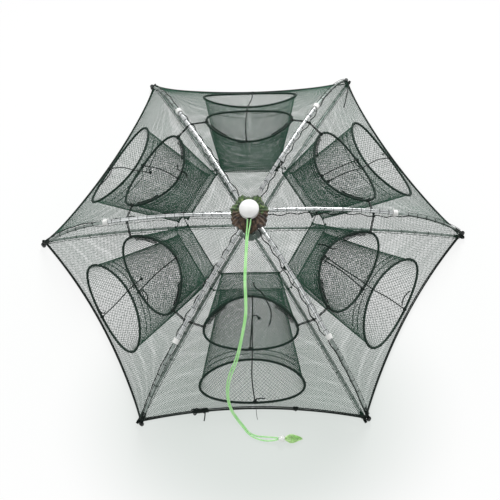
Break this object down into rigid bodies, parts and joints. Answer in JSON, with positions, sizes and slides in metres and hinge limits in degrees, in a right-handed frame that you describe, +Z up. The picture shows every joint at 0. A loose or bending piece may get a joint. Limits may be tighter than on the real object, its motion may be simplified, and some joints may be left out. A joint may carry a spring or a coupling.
{
  "type": "folding crab trap",
  "caption": "Folding crab trap of dark green net on a six-ribbed double umbrella frame, with hooped tunnel mouths and a pull cord.",
  "frame": {"origin": "on the floor under the hub axis, midway between the six feet", "axes": "+X towards the foot of the first rib, +Z up along the hub axis, -Y to the front where the pull cord lies"},
  "size_m": [0.95, 0.8688, 0.183],
  "materials": {
    "hub_plastic": "moulded black nylon",
    "pin_steel": "plain steel wire",
    "knob_white": "glossy white moulding",
    "camo_cloth": "mottled green and brown cloth",
    "cord_green": "braided neon green cord",
    "bead_white": "glossy white bead",
    "tassel_yarn": "frayed yellow-green yarn",
    "rib_silver": "bright drawn tube",
    "rod_steel": "grey spring steel rod",
    "collar_white": "white sleeve",
    "net_green": "knotted dark green mesh",
    "hoop_wire": "dark green coated wire",
    "tunnel_net": "soft dark green mesh"
  },
  "bodies": {
    "root": {"lower_hub": "hub_plastic", "lower_hub_pins": "pin_steel"},
    "top_hub_body": {"top_hub": "hub_plastic", "top_hub_pins": "pin_steel", "knob": "knob_white", "camo_cuff": "camo_cloth", "inner_cord": "cord_green"},
    "upper_rib_1": {"rib_tube_1": "rib_silver", "rib_rod_1": "rod_steel", "rib_fittings_1": "collar_white", "upper_net_1": "net_green", "hoops_1": "hoop_wire", "tunnels_1": "tunnel_net"},
    "lower_rib_arm_1": {"lower_rib_1": "rod_steel", "lower_net_1": "net_green"},
    "upper_rib_2": {"rib_tube_2": "rib_silver", "rib_rod_2": "rod_steel", "rib_fittings_2": "collar_white", "upper_net_2": "net_green", "hoops_2": "hoop_wire", "tunnels_2": "tunnel_net"},
    "lower_rib_arm_2": {"lower_rib_2": "rod_steel", "lower_net_2": "net_green"},
    "upper_rib_3": {"rib_tube_3": "rib_silver", "rib_rod_3": "rod_steel", "rib_fittings_3": "collar_white", "upper_net_3": "net_green", "hoops_3": "hoop_wire", "tunnels_3": "tunnel_net"},
    "lower_rib_arm_3": {"lower_rib_3": "rod_steel", "lower_net_3": "net_green"},
    "upper_rib_4": {"rib_tube_4": "rib_silver", "rib_rod_4": "rod_steel", "rib_fittings_4": "collar_white", "upper_net_4": "net_green", "hoops_4": "hoop_wire", "tunnels_4": "tunnel_net"},
    "lower_rib_arm_4": {"lower_rib_4": "rod_steel", "lower_net_4": "net_green"},
    "upper_rib_5": {"rib_tube_5": "rib_silver", "rib_rod_5": "rod_steel", "rib_fittings_5": "collar_white", "upper_net_5": "net_green", "hoops_5": "hoop_wire", "tunnels_5": "tunnel_net"},
    "lower_rib_arm_5": {"lower_rib_5": "rod_steel", "lower_net_5": "net_green"},
    "upper_rib_6": {"rib_tube_6": "rib_silver", "rib_rod_6": "rod_steel", "rib_fittings_6": "collar_white", "upper_net_6": "net_green", "hoops_6": "hoop_wire", "tunnels_6": "tunnel_net"},
    "lower_rib_arm_6": {"lower_rib_6": "rod_steel", "lower_net_6": "net_green"},
    "pull_cord_body": {"pull_cord": "cord_green", "cord_bead": "bead_white", "cord_tassel": "tassel_yarn"}
  },
  "joints": [
    {"name": "frame_fold", "type": "slide", "parent": "root", "child": "top_hub_body", "axis": [0, 0, 1], "range_m": [0, 0.8332], "deforming": ["inner_cord", "pull_cord", "upper_net_1", "hoops_1", "tunnels_1", "lower_net_1", "upper_net_2", "hoops_2", "tunnels_2", "lower_net_2", "upper_net_3", "hoops_3", "tunnels_3", "lower_net_3", "upper_net_4", "hoops_4", "tunnels_4", "lower_net_4", "upper_net_5", "hoops_5", "tunnels_5", "lower_net_5", "upper_net_6", "hoops_6", "tunnels_6", "lower_net_6"]},
    {"name": "upper_hinge_1", "type": "hinge", "parent": "top_hub_body", "child": "upper_rib_1", "pos_m": [0.024, 0, 0.15], "axis": [0, 1, 0], "range_deg": [0, 62.5]},
    {"name": "lower_hinge_1", "type": "hinge", "parent": "root", "child": "lower_rib_arm_1", "pos_m": [0.024, 0, 0.075], "axis": [0, -1, 0], "range_deg": [0, 89.2]},
    {"name": "upper_hinge_2", "type": "hinge", "parent": "top_hub_body", "child": "upper_rib_2", "pos_m": [0.012, 0.02079, 0.15], "axis": [-0.866, 0.5, 0], "range_deg": [0, 62.5]},
    {"name": "lower_hinge_2", "type": "hinge", "parent": "root", "child": "lower_rib_arm_2", "pos_m": [0.012, 0.02079, 0.075], "axis": [0.866, -0.5, 0], "range_deg": [0, 89.2]},
    {"name": "upper_hinge_3", "type": "hinge", "parent": "top_hub_body", "child": "upper_rib_3", "pos_m": [-0.012, 0.02079, 0.15], "axis": [-0.866, -0.5, 0], "range_deg": [0, 62.5]},
    {"name": "lower_hinge_3", "type": "hinge", "parent": "root", "child": "lower_rib_arm_3", "pos_m": [-0.012, 0.02079, 0.075], "axis": [0.866, 0.5, 0], "range_deg": [0, 89.2]},
    {"name": "upper_hinge_4", "type": "hinge", "parent": "top_hub_body", "child": "upper_rib_4", "pos_m": [-0.024, 0, 0.15], "axis": [0, -1, 0], "range_deg": [0, 62.5]},
    {"name": "lower_hinge_4", "type": "hinge", "parent": "root", "child": "lower_rib_arm_4", "pos_m": [-0.024, 0, 0.075], "axis": [0, 1, 0], "range_deg": [0, 89.2]},
    {"name": "upper_hinge_5", "type": "hinge", "parent": "top_hub_body", "child": "upper_rib_5", "pos_m": [-0.012, -0.02079, 0.15], "axis": [0.866, -0.5, 0], "range_deg": [0, 62.5]},
    {"name": "lower_hinge_5", "type": "hinge", "parent": "root", "child": "lower_rib_arm_5", "pos_m": [-0.012, -0.02079, 0.075], "axis": [-0.866, 0.5, 0], "range_deg": [0, 89.2]},
    {"name": "upper_hinge_6", "type": "hinge", "parent": "top_hub_body", "child": "upper_rib_6", "pos_m": [0.012, -0.02079, 0.15], "axis": [0.866, 0.5, 0], "range_deg": [0, 62.5]},
    {"name": "lower_hinge_6", "type": "hinge", "parent": "root", "child": "lower_rib_arm_6", "pos_m": [0.012, -0.02079, 0.075], "axis": [-0.866, -0.5, 0], "range_deg": [0, 89.2]},
    {"name": "cord_swing", "type": "hinge", "parent": "top_hub_body", "child": "pull_cord_body", "pos_m": [0, -0.04, 0.162], "axis": [1, 0, 0], "range_deg": [0, 58.3]}
  ],
  "couplings": [
    {"joint": "upper_hinge_1", "follows": "frame_fold", "rad_per_m": 1.3056},
    {"joint": "lower_hinge_1", "follows": "frame_fold", "rad_per_m": 1.8637},
    {"joint": "upper_hinge_2", "follows": "frame_fold", "rad_per_m": 1.3056},
    {"joint": "lower_hinge_2", "follows": "frame_fold", "rad_per_m": 1.8637},
    {"joint": "upper_hinge_3", "follows": "frame_fold", "rad_per_m": 1.3056},
    {"joint": "lower_hinge_3", "follows": "frame_fold", "rad_per_m": 1.8637},
    {"joint": "upper_hinge_4", "follows": "frame_fold", "rad_per_m": 1.3056},
    {"joint": "lower_hinge_4", "follows": "frame_fold", "rad_per_m": 1.8637},
    {"joint": "upper_hinge_5", "follows": "frame_fold", "rad_per_m": 1.3056},
    {"joint": "lower_hinge_5", "follows": "frame_fold", "rad_per_m": 1.8637},
    {"joint": "upper_hinge_6", "follows": "frame_fold", "rad_per_m": 1.3056},
    {"joint": "lower_hinge_6", "follows": "frame_fold", "rad_per_m": 1.8637},
    {"joint": "cord_swing", "follows": "frame_fold", "rad_per_m": 1.2149}
  ]
}
